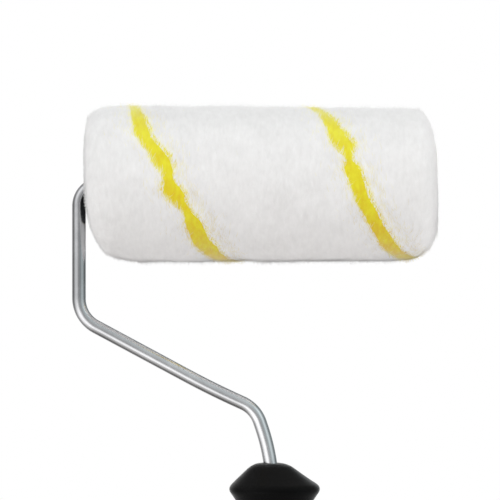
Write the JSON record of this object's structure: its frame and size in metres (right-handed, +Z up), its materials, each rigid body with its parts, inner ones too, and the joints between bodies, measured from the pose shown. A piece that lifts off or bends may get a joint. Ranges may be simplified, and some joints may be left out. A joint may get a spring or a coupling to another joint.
{
  "type": "paint roller",
  "caption": "Hand paint roller: bent wire frame with a black moulded handle, turning spring-wire cage and a slide-on long-nap cover with a helical yellow line.",
  "frame": {"origin": "centre of the mouth of the pole socket, at the butt end of the handle", "axes": "+Z up along the handle; +X along the roller's axle towards its free end; the bent wire lies in the XZ plane and -Y is the front"},
  "size_m": [0.1875, 0.0804, 0.3108],
  "materials": {
    "zinc_plated_steel": "bright zinc plate, polished, slightly drawn along its length",
    "spring_steel": "plain drawn spring wire",
    "handle_black_plastic": "black moulded, fine matte grain",
    "grip_soft_black": "soft matte overmould",
    "socket_grey_plastic": "dark grey moulded",
    "cap_black_nylon": "black moulded",
    "bush_natural_acetal": "off-white, smooth",
    "core_tube_plastic": "extruded, pale beige",
    "pile_white": "long off-white knitted nap",
    "pile_yellow": "yellow line of the same nap"
  },
  "bodies": {
    "frame": {"frame_wire": "zinc_plated_steel", "handle_core": "handle_black_plastic", "grip_sleeve": "grip_soft_black", "pole_insert": "socket_grey_plastic", "inner_stop_collar": "zinc_plated_steel", "inner_washer": "zinc_plated_steel", "outer_washer": "zinc_plated_steel", "push_nut": "spring_steel"},
    "cage": {"inner_end_cap": "cap_black_nylon", "outer_end_cap": "cap_black_nylon", "inner_bush": "bush_natural_acetal", "outer_bush": "bush_natural_acetal", "cage_wire_1": "spring_steel", "cage_wire_2": "spring_steel", "cage_wire_3": "spring_steel", "cage_wire_4": "spring_steel", "cage_wire_5": "spring_steel", "centre_spider": "cap_black_nylon"},
    "cover": {"core_tube": "core_tube_plastic", "pile_sleeve": "pile_white", "pile_stripe": "pile_yellow"}
  },
  "joints": [
    {"name": "cage_spin", "type": "hinge", "parent": "frame", "child": "cage", "pos_m": [0, 0, 0.2706], "axis": [1, 0, 0], "continuous": true},
    {"name": "cover_pull", "type": "slide", "parent": "cage", "child": "cover", "axis": [1, 0, 0], "range_m": [0, 0.19]}
  ]
}
